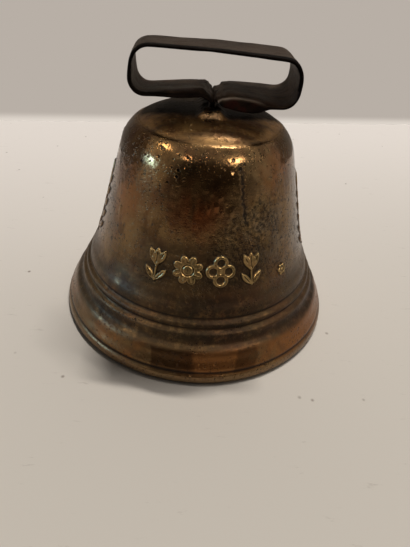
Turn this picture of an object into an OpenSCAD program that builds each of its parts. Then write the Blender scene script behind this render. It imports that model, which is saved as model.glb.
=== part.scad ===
// Cast brass cow bell with a flat iron collar band and a forged clapper.
// The mouth lies in the plane z = 0, the bell's axis is Z, and the collar passes along Y.

/* [Bell outline] */
// Diameter of the mouth over the lip
mouth_d = 110; // [96:1:124]
// Height of the casting from the rim to the top of the crown
bell_h = 78.6; // [72:0.2:90]
// Radius of the round swell above the lip
lip_r = 12; // [9:0.5:15]
// Lean of the sound bow from upright, in degrees
bow_a = 30; // [26:1:33]
// Slant length of the straight part of the sound bow
bow_l = 12; // [8:0.5:14]
// Radius of the hollow flare between the sound bow and the waist
flare_r = 98; // [80:1:110]
// Lean of the straight waist from upright, in degrees
waist_a = 15; // [12:0.5:17]
// Radius of the shoulder
shoulder_r = 12.7; // [9:0.1:16]
// Lean of the skin where the shoulder runs into the crown, in degrees
shoulder_a = 59; // [52:1:64]
// Diameter of the flat in the middle of the crown
crown_flat_d = 17; // [10:1:24]

/* [Bell wall] */
// Wall at the lip
lip_wall = 4.4; // [3.6:0.1:5]
// Wall where the ball strikes
bow_wall = 5; // [4.4:0.1:6]
// Wall of the waist
waist_wall = 3; // [2.4:0.1:3.8]
// Wall of the crown
crown_wall = 3.6; // [3:0.1:4.6]
// Height of the thickest wall above the rim
bow_z = 14; // [10:0.5:18]
// Height at which the wall is down to the waist's
thin_z = 36; // [30:0.5:42]
// Rounding of the lip's outer edge
rim_round = 1.4; // [0.8:0.1:2]

/* [Mouldings] */
// Height of the groove above the lip
lip_groove_z = 4.4; // [3.8:0.1:5.2]
// Height of the upper groove of the two beads
bead_z = 21.2; // [19:0.1:24]
// Distance from one bead's groove to the next
bead_pitch = 3.1; // [2.6:0.1:3.6]
// How far the beads stand proud
bead_h = 0.45; // [0.2:0.05:0.7]
// Depth of the grooves
groove_h = 0.55; // [0.3:0.05:0.8]
// Half the width of a groove
groove_w = 1; // [0.7:0.05:1.3]
// Width of the cove below the beads
cove_w = 4.4; // [3.4:0.1:5]
// Depth of the cove
cove_h = 0.7; // [0.3:0.05:0.9]
// Depth of the fine line between the shoulder and the crown
crown_line_h = 0.3; // [0.15:0.05:0.5]

/* [Crown boss] */
// Length of the oblong boss
boss_l = 23; // [21:0.2:25]
// Width of the boss
boss_w = 8.4; // [7.4:0.2:10]
// How far the boss's middle stands in front of the bell's axis
boss_fwd = 2.4; // [1.4:0.1:3]
// Height of the boss above the crown
boss_h = 1.6; // [1:0.1:2.2]
// Width and height of the bevel round the boss
boss_bevel = 1.2; // [0.5:0.1:1.4]

/* [Collar band] */
// Length of the loop outside
loop_l = 53; // [46:0.5:60]
// Height of the loop outside at its left end
left_h = 15; // [13:0.2:18]
// Height of the loop outside at its right end
right_h = 14.2; // [12:0.2:16]
// Width of the band
band_w = 20.9; // [18:0.1:24]
// Thickness of the band
band_t = 1.2; // [1:0.05:1.5]
// How far the band's middle stands in front of the bell's axis
band_fwd = 3.45; // [2:0.05:4]
// Gap between the top of the boss and the underside of the loop at its left end
left_lift = 2.1; // [1.8:0.1:3]
// The same gap at the loop's right end
right_lift = 2.5; // [2.4:0.1:4.4]
// The same gap beside the V
v_lift = 4; // [3.4:0.1:4.6]
// Radius of the two lower corners outside
low_corner_r = 5.2; // [4:0.1:6]
// Radius of the two upper corners outside
top_corner_r = 6; // [5:0.1:7]
// Bend radius on the left of the V, to the middle of the band
v_left_r = 2.6; // [1.6:0.1:3]
// Bend radius at the bottom of the V on the right, to the middle of the band
v_right_r = 1.7; // [1.4:0.1:2.2]
// Length of the slope on the right of the V
v_slope_l = 4.4; // [3.6:0.1:6]
// Drop of that slope
v_slope_h = 2.2; // [1.4:0.1:2.4]
// How far the hammered front margin rolls down on the left of the V
left_roll = 1.4; // [0.6:0.1:1.8]
// How far it rolls down on the right
right_roll = 2.4; // [1.2:0.1:2.8]
// How far the front edge tips down at the loop's lower left corner, in degrees
low_left_twist = -2.5; // [-4:0.5:4]
// The same at the lower right corner
low_right_twist = 7; // [0:0.5:10]
// The same at the upper left corner
top_left_twist = -2; // [-4:0.5:2]
// The same at the upper right corner
top_right_twist = 1; // [0:0.5:6]
// How far the loop's top bows up in its middle
top_bow = 0.5; // [0:0.1:1.5]
// How far the loop's left side leans out at the top of its back edge, and in at its front edge
left_flare = 0.9; // [0:0.1:1.5]

/* [Band tails] */
// Width of the two tails in the slot
tail_w = 14; // [12:0.2:15]
// How far the tails' middle stands in front of the bell's axis
tail_fwd = 1; // [0:0.1:1.6]
// Gap between the two tails
tail_gap = 0.3; // [0.2:0.05:0.5]
// Width of the ears
ear_w = 9; // [8:0.2:10]
// Height over which the tails spread into ears
jog_h = 3; // [2.5:0.1:4]
// Clearance round the tails in the slot
slot_gap = 0.15; // [0.1:0.05:0.25]

/* [Hanger pin] */
// Diameter of the rivet
pin_d = 3.2; // [2.8:0.1:3.6]
// Drop of the rivet below the underside of the crown
pin_drop = 8.6; // [8.4:0.1:11]
// Diameter of the rivet's heads
head_d = 6; // [5:0.1:6.6]
// Height of the rivet's heads
head_h = 1.3; // [0.8:0.1:1.6]
// Clearance of the rivet in the ears
pin_gap = 0.03; // [0.02:0.01:0.06]
// Clearance between the ears and the rivet's heads
head_gap = 0.1; // [0.05:0.05:0.2]

/* [Clapper] */
// Diameter of the ball
ball_d = 17.6; // [15:0.2:20]
// Height of the clapper's end above the mouth
tip_z = 3; // [2.5:0.5:8]
// Diameter of the nub below the ball
nub_d = 5.2; // [4:0.2:7]
// Length of the nub below the ball
nub_h = 1.4; // [0.8:0.1:2]
// Thickness of the flat eye and the neck
eye_t = 3.6; // [3:0.1:4]
// Outer diameter of the eye
eye_d = 8.6; // [8:0.1:9]
// Running clearance of the eye on the rivet
eye_gap = 0.08; // [0.04:0.01:0.1]
// Clearance of the eye beside each ear
side_gap = 0.3; // [0.25:0.05:0.5]
// Diameter of the shank at its upper end
shank_top_d = 4.6; // [4:0.1:5.2]
// Diameter of the shank at the ball
shank_low_d = 6; // [5.4:0.1:7]
// Fillet between the shank and the ball
ball_fillet = 6; // [3:0.5:8]

/* [Hidden] */
$fn = 96;

brass = [0.48, 0.36, 0.2];
iron = [0.2, 0.18, 0.17];
dark_iron = [0.26, 0.24, 0.23];

function smooth(x) = let (t = min(max(x, 0), 1)) t * t * (3 - 2 * t);
function mix(a, b, t) = a + (b - a) * t;

// The skin is followed from the rim to the crown. Its lean from upright is a, and the radius and the
// height at the end of each stretch follow from the stretches before it.
lip_end_z = lip_r * sin(bow_a);
lip_end_r = mouth_d / 2 - lip_r * (1 - cos(bow_a));
bow_end_z = lip_end_z + bow_l * cos(bow_a);
bow_end_r = lip_end_r - bow_l * sin(bow_a);
flare_end_z = bow_end_z + flare_r * (sin(bow_a) - sin(waist_a));
flare_end_r = bow_end_r - flare_r * (cos(waist_a) - cos(bow_a));
shoulder_rise = shoulder_r * (sin(shoulder_a) - sin(waist_a));
shoulder_in = shoulder_r * (cos(waist_a) - cos(shoulder_a));
crown_rise = (1 - sin(shoulder_a)) / cos(shoulder_a);
// The waist is as long as the height of the casting leaves.
waist_rise = (bell_h - flare_end_z - shoulder_rise
    - (flare_end_r - shoulder_in - crown_flat_d / 2) * crown_rise) / (1 - tan(waist_a) * crown_rise);
waist_end_z = flare_end_z + waist_rise;
waist_end_r = flare_end_r - waist_rise * tan(waist_a);
crown_z = waist_end_z + shoulder_rise;
crown_edge_r = waist_end_r - shoulder_in;
crown_r = (crown_edge_r - crown_flat_d / 2) / cos(shoulder_a);

// Lean and radius of the skin at height z, without its mouldings
function skin_a(z) =
    z < lip_end_z ? asin(z / lip_r) :
    z < bow_end_z ? bow_a :
    z < flare_end_z ? asin(sin(bow_a) - (z - bow_end_z) / flare_r) :
    z < waist_end_z ? waist_a :
    z < crown_z ? asin(sin(waist_a) + (z - waist_end_z) / shoulder_r) :
    asin(min(1, sin(shoulder_a) + (z - crown_z) / crown_r));
function skin_r(z) =
    let (a = skin_a(z))
    z < lip_end_z ? mouth_d / 2 - lip_r * (1 - cos(a)) :
    z < bow_end_z ? lip_end_r - (z - lip_end_z) * tan(bow_a) :
    z < flare_end_z ? bow_end_r + flare_r * (cos(bow_a) - cos(a)) :
    z < waist_end_z ? flare_end_r - (z - flare_end_z) * tan(waist_a) :
    z < crown_z ? waist_end_r - shoulder_r * (cos(waist_a) - cos(a)) :
    crown_edge_r - crown_r * (cos(shoulder_a) - cos(a));

// A moulding is a raised cosine of half width w round height at.
function ridge(z, at, w, h) = abs(z - at) < w ? h * (1 + cos(180 * (z - at) / w)) / 2 : 0;
bead_w = bead_pitch / 2;
cove_z = bead_z - 2 * bead_pitch - cove_w / 2 + groove_w;
// The flare swells softly above the beads, and the sound bow swells below the cove.
upper_swell_w = bead_pitch * 0.8;
upper_swell_h = bead_h * 0.7;
low_swell_w = cove_w * 0.6;
low_swell_h = bead_h * 0.6;
swell_z = cove_z - cove_w * 0.75;
crown_line_w = groove_w * 0.6;
function relief(z) =
    ridge(z, bead_z + bead_pitch, upper_swell_w, upper_swell_h)
    - ridge(z, bead_z, groove_w, groove_h)
    + ridge(z, bead_z - bead_w, groove_w, bead_h)
    - ridge(z, bead_z - bead_pitch, groove_w, groove_h)
    + ridge(z, bead_z - bead_pitch - bead_w, groove_w, bead_h)
    - ridge(z, cove_z, cove_w / 2, cove_h)
    + ridge(z, swell_z, low_swell_w, low_swell_h)
    - ridge(z, lip_groove_z, groove_w, groove_h)
    - ridge(z, crown_z, crown_line_w, crown_line_h);

function wall(z) =
    z < bow_z ? mix(lip_wall, bow_wall, smooth(z / bow_z)) :
    z < thin_z ? mix(bow_wall, waist_wall, smooth((z - bow_z) / (thin_z - bow_z))) :
    mix(waist_wall, crown_wall, smooth((z - waist_end_z) / (bell_h - waist_end_z)));

// A point of the skin at height z, moved outwards along its normal
function skin_at(z, out) = let (a = skin_a(z)) [skin_r(z) + out * cos(a), z + out * sin(a)];

// Heights at which the outline has points: close together over the mouldings and by equal turns on
// the round stretches
fine_step = 0.45;
fine_top_z = bead_z + 2 * bead_pitch;
moulded_z = [for (z = [rim_round + fine_step : fine_step : fine_top_z]) z];
flare_n = 6;
flared_z = [for (i = [1 : flare_n]) mix(fine_top_z, flare_end_z, i / flare_n)];
shoulder_n = 9;
shouldered_z = [for (i = [0 : shoulder_n - 1])
    waist_end_z + shoulder_r * (sin(mix(waist_a, shoulder_a, i / shoulder_n)) - sin(waist_a))];
line_n = 4;
lined_z = [for (i = [-line_n : line_n]) crown_z + crown_line_w * i / line_n];
crown_n = 7;
crowned_z = [for (i = [1 : crown_n])
    crown_z + crown_r * (sin(mix(shoulder_a, 90, i / crown_n)) - sin(shoulder_a))];
outer_z = concat(moulded_z, flared_z, [for (z = shouldered_z) if (z < lined_z[0] - fine_step) z], lined_z,
    [for (z = crowned_z) if (z > lined_z[2 * line_n] + fine_step / 2) z]);
lip_n = 5;
lip_edge = [for (i = [0 : lip_n]) let (t = 90 * i / lip_n)
    [mouth_d / 2 - rim_round * (1 - sin(t)), rim_round * (1 - cos(t))]];
inner_step = 3;
inner_z = concat([for (z = [inner_step : inner_step : thin_z]) z],
    [for (z = flared_z) if (z > thin_z + inner_step / 2) z],
    [for (z = shouldered_z) z], [crown_z], crowned_z);
outline = concat(
    lip_edge,
    [for (z = outer_z) skin_at(z, relief(z))],
    [[0, bell_h], [0, bell_h - crown_wall]],
    [for (i = [len(inner_z) - 1 : -1 : 0]) skin_at(inner_z[i], -wall(inner_z[i]))],
    [[mouth_d / 2 - lip_wall, 0]]);

// Heights on the crown
ceiling_z = bell_h - crown_wall;
boss_z = bell_h + boss_h;
pin_z = ceiling_z - pin_drop;

// The slot takes both tails side by side.
slot_x = 2 * band_t + tail_gap + 2 * slot_gap;
slot_y = tail_w + 2 * slot_gap;

module boss_end() {
    r = boss_w / 2;
    cylinder(h = boss_z - boss_bevel - ceiling_z, r = r);
    translate([0, 0, boss_z - boss_bevel - ceiling_z])
        cylinder(h = boss_bevel, r1 = r, r2 = r - boss_bevel);
}

module boss() {
    r = boss_w / 2;
    run = boss_l - boss_w;
    flank = [[-r, 0], [r, 0], [r, boss_z - boss_bevel - ceiling_z], [r - boss_bevel, boss_z - ceiling_z],
        [boss_bevel - r, boss_z - ceiling_z], [-r, boss_z - boss_bevel - ceiling_z]];
    translate([0, -boss_fwd, ceiling_z]) {
        for (s = [-1, 1]) translate([0, s * run / 2, 0]) boss_end();
        translate([0, run / 2, 0]) rotate([90, 0, 0]) linear_extrude(height = run) polygon(flank);
    }
}

module bell_casting() color(brass) difference() {
    union() {
        rotate_extrude() polygon(outline);
        boss();
    }
    translate([-slot_x / 2, -tail_fwd - slot_y / 2, ceiling_z - crown_wall])
        cube([slot_x, slot_y, boss_z - ceiling_z + 2 * crown_wall]);
}

// The band's middle line in the XZ plane: up the left tail, round the loop and down the right tail
tail_x = (tail_gap + band_t) / 2;
ear_gap = eye_t + 2 * side_gap;
ear_x = (ear_gap + band_t) / 2;
ear_end_z = pin_z - ear_w / 2;
jog_room = 0.4;
jog_top_z = ceiling_z - jog_room;
left_low_z = boss_z + left_lift + band_t / 2;
right_low_z = boss_z + right_lift + band_t / 2;
v_z = boss_z + v_lift + band_t / 2;
left_top_z = left_low_z + left_h - band_t;
right_top_z = right_low_z + right_h - band_t;
side_x = (loop_l - band_t) / 2;
jog_bend_r = 1.5;
slope_bend_r = 5;
top_bow_r = 150;
low_bend_r = low_corner_r - band_t / 2;
top_bend_r = top_corner_r - band_t / 2;
// Each corner of the line is [x, z, bend radius].
band_corners = [
    [-ear_x, ear_end_z, 0],
    [-ear_x, jog_top_z - jog_h, jog_bend_r],
    [-tail_x, jog_top_z, jog_bend_r],
    [-tail_x, v_z, v_left_r],
    [-side_x, left_low_z, low_bend_r],
    [-side_x, left_top_z, top_bend_r],
    [0, (left_top_z + right_top_z) / 2 + top_bow, top_bow_r],
    [side_x, right_top_z, top_bend_r],
    [side_x, right_low_z, low_bend_r],
    [v_slope_l, v_z, slope_bend_r],
    [tail_x, v_z - v_slope_h, v_right_r],
    [tail_x, jog_top_z, jog_bend_r],
    [ear_x, jog_top_z - jog_h, jog_bend_r],
    [ear_x, ear_end_z, 0]];

function unit(v) = v / norm(v);
function left_of(v) = [-v[1], v[0]];
// Points of the round bend at corner q, between its neighbours p and s
function bend(p, q, s, r) =
    let (u = unit(q - p), w = unit(s - q), side = sign(cross(u, w)),
        turn = acos(max(-1, min(1, u * w))), n = max(2, ceil(turn / 18)),
        start = q - u * r * tan(turn / 2))
    [for (i = [0 : n]) let (a = turn * i / n) start + r * (sin(a) * u + (1 - cos(a)) * side * left_of(u))];
function xz(c) = [c[0], c[1]];
corner_n = len(band_corners);
bent_line = concat([xz(band_corners[0])],
    [for (i = [1 : corner_n - 2]) let (c = band_corners[i])
        each bend(xz(band_corners[i - 1]), xz(c), xz(band_corners[i + 1]), c[2])],
    [xz(band_corners[corner_n - 1])]);
// Long stretches get points in between, so that width, roll and twist can change along them.
line_step = 2.6;
band_line = concat([for (i = [0 : len(bent_line) - 2])
    let (p = bent_line[i], q = bent_line[i + 1], n = max(1, ceil(norm(q - p) / line_step)))
    each [for (k = [0 : n - 1]) mix(p, q, k / n)]], [bent_line[len(bent_line) - 1]]);
ring_n = len(band_line);
function so_far(i) = i == 0 ? 0 : so_far(i - 1) + norm(band_line[i] - band_line[i - 1]);
travel = [for (i = [0 : ring_n - 1]) so_far(i)];
// Distance along the band from its nearer end
function from_end(i) = min(travel[i], travel[ring_n - 1] - travel[i]);
function heading(i) = unit(band_line[min(i + 1, ring_n - 1)] - band_line[max(i - 1, 0)]);

// Distances from the band's end at which the ear, the tail and the V are over
ear_l = ear_w / 2 + eye_d / 2;
jog_l = norm([ear_x - tail_x, jog_h]);
tail_start = jog_top_z - jog_h - ear_end_z + jog_l;
tail_l = tail_start + boss_z - jog_top_z;
// The band keeps the tails' width until it is clear of the slot by fan_room, and widens over fan_l.
fan_room = 1.2;
fan_l = 3.6;
ear_tip_w = ear_w * 0.35;
roll_start = tail_l + 2;
roll_in = 5;
roll_hold = 10;
roll_out = 12;
twist_in = 15;
function band_width(d) =
    d < ear_w / 2 ? max(ear_tip_w, 2 * sqrt(max(0, pow(ear_w / 2, 2) - pow(ear_w / 2 - d, 2)))) :
    d < tail_l ? mix(ear_w, tail_w, smooth((d - ear_l) / (tail_start - ear_l))) :
    mix(tail_w, band_w, smooth((d - tail_l - fan_room) / fan_l));
function band_mid_y(d) =
    d < tail_l ? mix(0, -tail_fwd, smooth((d - ear_l) / (tail_start - ear_l))) :
    mix(-tail_fwd, -band_fwd, smooth((d - tail_l - fan_room) / fan_l));
function roll_share(d) =
    smooth((d - roll_start) / roll_in) * (1 - smooth((d - roll_start - roll_hold) / roll_out));
// The twist changes evenly from corner to corner of the loop, and the tails have none.
low_z = (left_low_z + right_low_z) / 2;
top_z = (left_top_z + right_top_z) / 2;
loop_mid_z = (low_z + top_z) / 2;
function up(p) = smooth((p[1] - low_z) / (top_z - low_z));
function twist(p, d) =
    let (right = (p[0] / side_x + 1) / 2)
    smooth((d - tail_l) / twist_in) * mix(mix(low_left_twist, low_right_twist, right),
        mix(top_left_twist, top_right_twist, right), up(p));
function flare(p, d) = d < tail_l ? 0 : left_flare * up(p) * smooth(-p[0] / side_x);

// Places across the band, from the front edge at -1 to the back edge at 1, with the share of the
// thickness that the rounded edges leave there
across = [[-1, 0.45], [-0.92, 1], [-0.8, 1], [-0.6, 1], [-0.3, 1], [0.3, 1], [0.92, 1], [1, 0.45]];
across_n = len(across);
// The roll starts this far from the middle, steepens by this power, and draws the edge back by this share.
roll_from = 0.6;
roll_power = 1.6;
roll_draw = 1 / 3;
function roll(p, u, d) =
    let (share = roll_share(d) * pow(max(0, (-u - roll_from) / (1 - roll_from)), roll_power))
    share * (p[0] < 0 ? left_roll : right_roll);
function band_point(i, k, face) =
    let (d = from_end(i), p = band_line[i], u = across[k][0], w = band_width(d), down = roll(p, u, d),
        q = p + (face * band_t / 2 * across[k][1] + down) * left_of(heading(i)),
        y = u * w / 2 + down * roll_draw, z = q[1] - loop_mid_z, a = twist(p, d))
    [q[0] - flare(p, d) * u,
        band_mid_y(d) + y * cos(a) - z * sin(a),
        loop_mid_z + y * sin(a) + z * cos(a)];
ring_size = 2 * across_n;
band_points = [for (i = [0 : ring_n - 1]) each concat(
    [for (k = [0 : across_n - 1]) band_point(i, k, 1)],
    [for (k = [across_n - 1 : -1 : 0]) band_point(i, k, -1)])];
band_sides = [for (i = [0 : ring_n - 2]) for (j = [0 : ring_size - 1])
    let (a = i * ring_size + j, b = i * ring_size + (j + 1) % ring_size)
    each [[a, b, b + ring_size], [a, b + ring_size, a + ring_size]]];
// Each end of the band is closed by pairs of triangles between its two faces.
function band_cap(base, flip) = [for (k = [0 : across_n - 2])
    let (a = base + k, b = base + k + 1, c = base + ring_size - 2 - k, e = base + ring_size - 1 - k)
    each flip ? [[a, b, c], [a, c, e]] : [[a, c, b], [a, e, c]]];

module band() polyhedron(
    points = band_points,
    faces = concat(band_sides, band_cap(0, false), band_cap((ring_n - 1) * ring_size, true)));

// A hole is drilled this much past each face.
drill_over = 1;
module across_x(r, l) translate([-l / 2, 0, pin_z]) rotate([0, 90, 0]) cylinder(h = l, r = r);

module collar_strap() color(iron) difference() {
    band();
    across_x(pin_d / 2 + pin_gap, ear_gap + 2 * (band_t + drill_over));
}

// Half of the rivet's outline, as [radius, distance from the middle]
head_x = ear_gap / 2 + band_t + head_gap;
head_side_h = head_h * 0.35;
head_dome_h = head_h - head_side_h;
head_n = 5;
function head_dome(side) = [for (i = [0 : head_n]) let (a = 90 * (side > 0 ? i : head_n - i) / head_n)
    [head_d / 2 * cos(a), side * (head_x + head_side_h + head_dome_h * sin(a))]];
rivet_outline = concat(
    head_dome(-1),
    [[head_d / 2, -head_x], [pin_d / 2, -head_x], [pin_d / 2, head_x], [head_d / 2, head_x]],
    head_dome(1));

module hanger_pin() color(dark_iron)
    translate([0, 0, pin_z]) rotate([0, 90, 0]) rotate_extrude() polygon(rivet_outline);

// The clapper's outline follows from the ball and the fillet that meets both the ball and the shank.
ball_r = ball_d / 2;
nub_r = nub_d / 2;
ball_z = tip_z + nub_h + sqrt(pow(ball_r, 2) - pow(nub_r, 2));
shank_low_r = shank_low_d / 2;
fillet_x = shank_low_r + ball_fillet;
fillet_z = ball_z + sqrt(pow(ball_r + ball_fillet, 2) - pow(fillet_x, 2));
meet_a = atan2(fillet_z - ball_z, fillet_x);
nub_a = -acos(nub_r / ball_r);
fillet_n = 6;
ball_n = 14;
neck_r = eye_t / 2;
// The neck is as thin as the eye until it is clear of the ears, and then widens into the shank.
neck_room = 2;
neck_end_z = pin_z - ear_w / 2 - neck_room;
neck_l = 6;
shank_start_z = neck_end_z - neck_l;
nub_bevel = nub_h * 0.4;
clapper_outline = concat(
    [[0, pin_z - pin_d], [neck_r, pin_z - pin_d], [neck_r, neck_end_z], [shank_top_d / 2, shank_start_z]],
    [for (i = [0 : fillet_n]) let (a = mix(180, 180 + meet_a, i / fillet_n))
        [fillet_x + ball_fillet * cos(a), fillet_z + ball_fillet * sin(a)]],
    [for (i = [1 : ball_n]) let (a = mix(meet_a, nub_a, i / ball_n))
        [ball_r * cos(a), ball_z + ball_r * sin(a)]],
    [[nub_r, tip_z + nub_bevel], [nub_r - nub_bevel, tip_z], [0, tip_z]]);

eye_bevel = 0.7;
eye_outline = [[0, -eye_t / 2], [eye_d / 2 - eye_bevel, -eye_t / 2], [eye_d / 2, eye_bevel - eye_t / 2],
    [eye_d / 2, eye_t / 2 - eye_bevel], [eye_d / 2 - eye_bevel, eye_t / 2], [0, eye_t / 2]];

module clapper() color(dark_iron) difference() {
    union() {
        rotate_extrude() polygon(clapper_outline);
        translate([0, 0, pin_z]) rotate([0, 90, 0]) rotate_extrude() polygon(eye_outline);
    }
    across_x(pin_d / 2 + eye_gap, eye_t + 2 * drill_over);
}

bell_casting();
collar_strap();
hanger_pin();
clapper();
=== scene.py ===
import math

import bmesh
import bpy
import numpy as np
from mathutils import Matrix, Vector, noise


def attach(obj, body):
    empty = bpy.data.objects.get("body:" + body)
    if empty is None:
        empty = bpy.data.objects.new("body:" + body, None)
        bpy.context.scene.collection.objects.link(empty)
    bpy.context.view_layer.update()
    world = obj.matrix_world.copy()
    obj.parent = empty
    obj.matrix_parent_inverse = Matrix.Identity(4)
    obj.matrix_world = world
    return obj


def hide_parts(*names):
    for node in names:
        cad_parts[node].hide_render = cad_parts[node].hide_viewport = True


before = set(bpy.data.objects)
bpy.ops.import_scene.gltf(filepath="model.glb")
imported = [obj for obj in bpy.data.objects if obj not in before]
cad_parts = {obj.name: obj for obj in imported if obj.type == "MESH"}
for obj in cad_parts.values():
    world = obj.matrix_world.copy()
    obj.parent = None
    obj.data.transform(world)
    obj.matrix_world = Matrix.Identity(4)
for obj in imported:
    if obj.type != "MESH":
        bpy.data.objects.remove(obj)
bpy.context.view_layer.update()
mm = 0.001


# nodes written as expressions

class Wire:
    def __init__(self, net, socket):
        self.net = net
        self.socket = socket

    def __add__(self, other):
        return self.net.maths("ADD", self, other)

    def __radd__(self, other):
        return self.net.maths("ADD", other, self)

    def __sub__(self, other):
        return self.net.maths("SUBTRACT", self, other)

    def __rsub__(self, other):
        return self.net.maths("SUBTRACT", other, self)

    def __mul__(self, other):
        return self.net.maths("MULTIPLY", self, other)

    def __rmul__(self, other):
        return self.net.maths("MULTIPLY", other, self)


class NodeNet:
    def __init__(self, tree):
        self.tree = tree

    # settings come first, because some of them change a node's sockets
    def add(self, kind, settings=None, sockets=None, out=0):
        node = self.tree.nodes.new(kind)
        for name, value in (settings or {}).items():
            setattr(node, name, value)
        for name, value in (sockets or {}).items():
            if isinstance(value, Wire):
                self.tree.links.new(value.socket, node.inputs[name])
            else:
                node.inputs[name].default_value = value
        if out == "all":
            return [Wire(self, socket) for socket in node.outputs]
        return Wire(self, node.outputs[out]) if len(node.outputs) else node

    def maths(self, operation, first, second=0.0):
        return self.add("ShaderNodeMath", {"operation": operation}, {0: first, 1: second})

    def parts(self, vector):
        return self.add("ShaderNodeSeparateXYZ", {}, {0: vector}, out="all")

    def vector(self, x, y, z):
        return self.add("ShaderNodeCombineXYZ", {}, {0: x, 1: y, 2: z})

    def vectors(self, operation, first, second, out=0):
        return self.add("ShaderNodeVectorMath", {"operation": operation}, {0: first, 1: second}, out)

    def scaled(self, vector, by):
        return self.vectors("MULTIPLY", vector, by)

    def ease(self, value, low, high):
        return self.add("ShaderNodeMapRange", {"interpolation_type": "SMOOTHSTEP"},
                        {"Value": value, "From Min": low, "From Max": high})

    def most(self, value, *others):
        for other in others:
            value = self.maths("MAXIMUM", value, other)
        return value

    def size(self, value):
        return self.maths("ABSOLUTE", value)

    def named(self, attribute):
        return self.add("ShaderNodeAttribute", {"attribute_name": attribute}, {}, out="Fac")

    def noise(self, place, scale, detail=3.0, roughness=0.5):
        return self.add("ShaderNodeTexNoise", {}, {"Vector": place, "Scale": scale, "Detail": detail,
                                                   "Roughness": roughness})

    # 1 in the heart of each cell of a pattern, falling to 0 at its edge
    def holes(self, place, scale, heart, edge):
        cells = self.add("ShaderNodeTexVoronoi", {}, {"Vector": place, "Scale": scale})
        return 1 - self.ease(cells, heart, edge)

    def tint(self, first, second, share):
        return self.add("ShaderNodeMix", {"data_type": "RGBA"}, {0: share, 6: first, 7: second}, out=2)

    # 1 at a place, falling to 0 at the radius
    def spot(self, place, centre, radius, soft=1.0):
        away = self.vectors("DISTANCE", place, centre, out=1)
        return 1 - self.ease(away, radius * (1 - soft), radius)

    # 1 at a value, falling to 0 at the half width
    def band(self, value, at, halfWidth, soft=1.0):
        return 1 - self.ease(self.size(value - at), halfWidth * (1 - soft), halfWidth)


def colour(red, green, blue):
    def linear(part):
        part = part / 255
        return part / 12.92 if part <= 0.04045 else ((part + 0.055) / 1.055) ** 2.4
    return (linear(red), linear(green), linear(blue), 1.0)


def newFinish(name):
    material = bpy.data.materials.new(name)
    material.use_nodes = True
    material.node_tree.nodes.clear()
    return material, NodeNet(material.node_tree)


# the height is in mm, and what is the same all over is given by its socket's name
def closeFinish(net, base, rough, metal, height, **fixed):
    normal = net.add("ShaderNodeBump", {}, {"Height": height, "Strength": 1.0, "Distance": mm})
    shader = net.add("ShaderNodeBsdfPrincipled", {}, {"Base Color": base, "Roughness": rough,
                                                      "Metallic": metal, "Normal": normal, **fixed})
    net.add("ShaderNodeOutputMaterial", {}, {"Surface": shader})


def plainSurface(net, tone, rough, gloss):
    return net.add("ShaderNodeBsdfPrincipled", {}, {"Base Color": tone, "Roughness": rough,
                                                    "Specular IOR Level": gloss})


def objectPlace(net):
    return net.add("ShaderNodeTexCoord", {}, {}, out="Object")


# the bell's skin

castSet = {
    "mouldStep": 0.42 * mm,  # between the rings over the turned mouldings
    "waistStep": 0.9 * mm,
    "shoulderStep": 0.5 * mm,
    "innerStep": 2.4 * mm,
    "mouldTop": 27 * mm,
    "shoulderFoot": 58 * mm,
    "columns": 400,  # round the bell
    "frontShare": 0.45,  # how much closer the columns stand in front
    "weld": 0.02 * mm,
    "slotReach": 6 * mm,  # the slot through the crown lies within this radius
    "eye": 20 * mm,  # the outline is followed by its angle from here on the axis
    "evenStep": 0.3 * mm,  # the outline is eased at this step, in so many rounds
    "rounds": 30,
    "easing": 0.9,
    "worn": 0.05,  # how much the mouldings are rounded by wear, up to 1
    "wornFade": 6 * mm,
    "lipKept": 0.3 * mm,  # what isn't rounded: the lip's flat, the axis, the crown's edge
    "axisKept": 3 * mm,
    "edgeDrop": 4.6 * mm,  # the crown's edge lies this far under its top
    "edgeKept": 1.1 * mm,
    "flatFade": 4 * mm,  # the unevenness comes in over this height
    "dent": 0.18 * mm,  # slow unevenness of the casting
    "dentScale": 38.0,
    "grain": 0.05 * mm,  # lumps of the mould's sand
    "grainScale": 520.0,
    "waver": 0.12 * mm,  # the turned lines waver up and down by this much
    "waverScale": 45.0,
    "waverEnd": (30 * mm, 36 * mm),
    "pit": 0.25 * mm,  # casting pits, in some fields above the mouldings
    "pitHoles": (420.0, 0.16, 0.42),  # scale of the pattern, and the values between which it fades
    "pitFields": (62.0, 0.5, 0.66),
    "pitPlaces": (240.0, 0.5, 0.62),
    "pitFoot": (26 * mm, 40 * mm),
    "bossFrom": (70 * mm, 72 * mm),
    "bossInset": 0.8 * mm,
    "bossFoot": 3.2 * mm,  # how far the boss's side runs out on the crown
    "bossLump": 1.0 * mm,
    "lumpScale": 330.0,
    "seed": 4.0,
}


# the casting's outline on its seam: rim, outside, top, ceiling, inside and the rim again
def outlinePoints(node):
    mesh = node.data
    seam = {}
    for face in mesh.polygons:
        for index in face.vertices:
            point = mesh.vertices[index].co
            if point.x > 0 and abs(point.y) < 1e-6:
                key = (round(point.x, 6), round(point.z, 6))
                seam[key] = seam.get(key, Vector()) + face.normal * face.area
    clear = castSet["slotReach"]
    near = 0.01 * mm
    low = min(z for x, z in seam)
    top = max(z for x, z in seam if x > clear)

    def angle(point):
        return math.atan2(point[1] - castSet["eye"], point[0])
    rim = sorted(p for p in seam if p[1] < low + near)
    outer = [p for p, n in seam.items() if p[0] > clear and (n.x > 0 or (n.z > 0 and p[1] > top / 2))]
    inner = [p for p in seam if p[0] > clear and p not in outer and p[1] > low + 10 * near]
    outer = sorted(set(outer) - set(rim), key=angle)
    inner = sorted(inner, key=angle, reverse=True)
    ceiling = max(z for x, z in inner)
    return rim + outer + [(0.0, top), (0.0, ceiling)] + inner + [rim[0]]


def lineRun(line):
    return np.concatenate([[0], np.cumsum(np.linalg.norm(np.diff(line, axis=0), axis=1))])


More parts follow.
